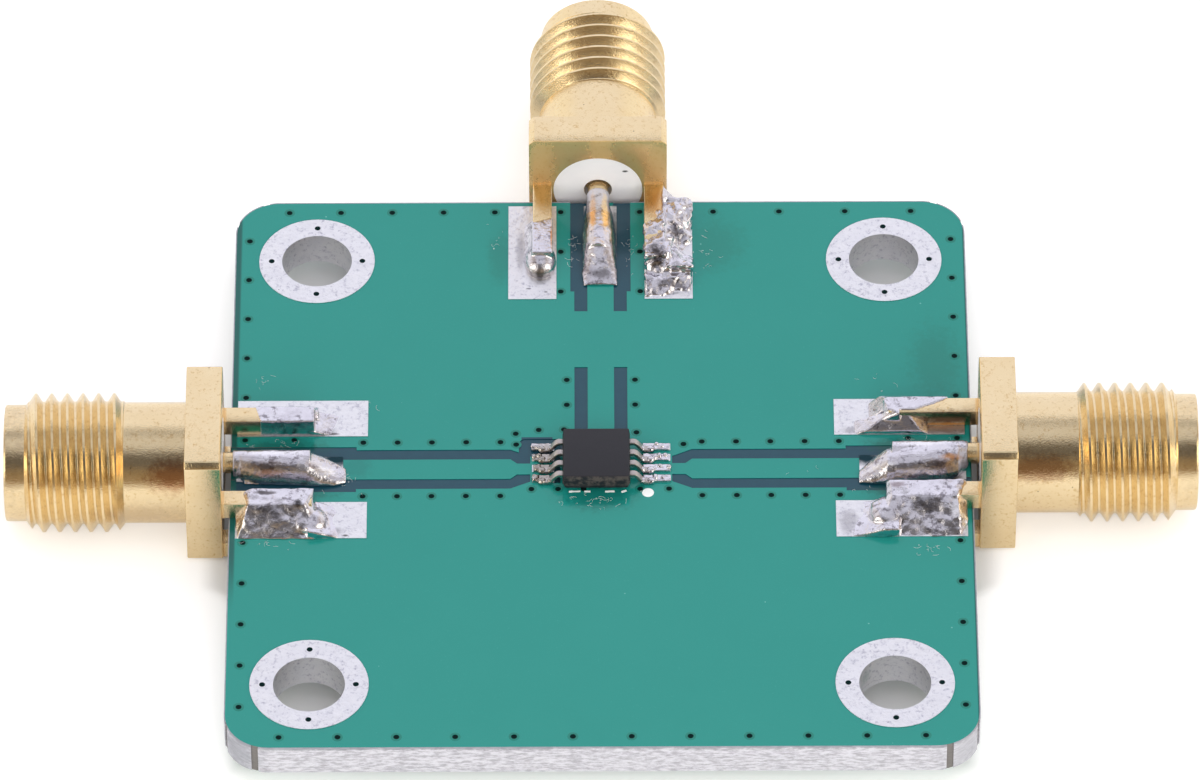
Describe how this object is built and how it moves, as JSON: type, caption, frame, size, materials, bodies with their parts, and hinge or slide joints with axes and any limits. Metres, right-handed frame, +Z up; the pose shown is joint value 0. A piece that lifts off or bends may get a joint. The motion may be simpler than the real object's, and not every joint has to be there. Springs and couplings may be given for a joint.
{
  "type": "rf mixer module",
  "caption": "Square circuit board with a mixer chip in the middle and threaded coaxial jacks soldered over three of its edges, for mixing radio signals.",
  "frame": {"origin": "centre of the four mounting holes, on the board's underside", "axes": "+Z up through the board, +Y towards the edge with the lone port, +X towards the right port"},
  "size_m": [0.0536, 0.0436, 0.0064],
  "materials": {
    "board": "glossy green solder mask over glass laminate",
    "tin": "satin hot-air tinned copper",
    "solder": "bright to frosted hand-made solder",
    "gold": "gold-plated turned brass",
    "insulator": "waxy white fluoropolymer",
    "package": "moulded epoxy with a fine texture",
    "lead": "tin-plated stamped leads"
  },
  "bodies": {
    "root": {"circuit_board": "board", "edge_plating": "tin", "mounting_rings": "tin", "signal_lands": "tin", "upper_ground_lands": "tin", "lower_ground_lands": "tin", "chip_lands": "tin", "chip_package": "package", "chip_leads": "lead", "chip_solder": "solder", "left_jack_body": "gold", "left_jack_contact": "gold", "left_jack_insulator": "insulator", "left_leg_solder": "solder", "left_signal_solder": "solder", "right_jack_body": "gold", "right_jack_contact": "gold", "right_jack_insulator": "insulator", "right_leg_solder": "solder", "right_signal_solder": "solder", "back_jack_body": "gold", "back_jack_contact": "gold", "back_jack_insulator": "insulator", "back_leg_solder": "solder", "back_signal_solder": "solder"}
  },
  "joints": []
}
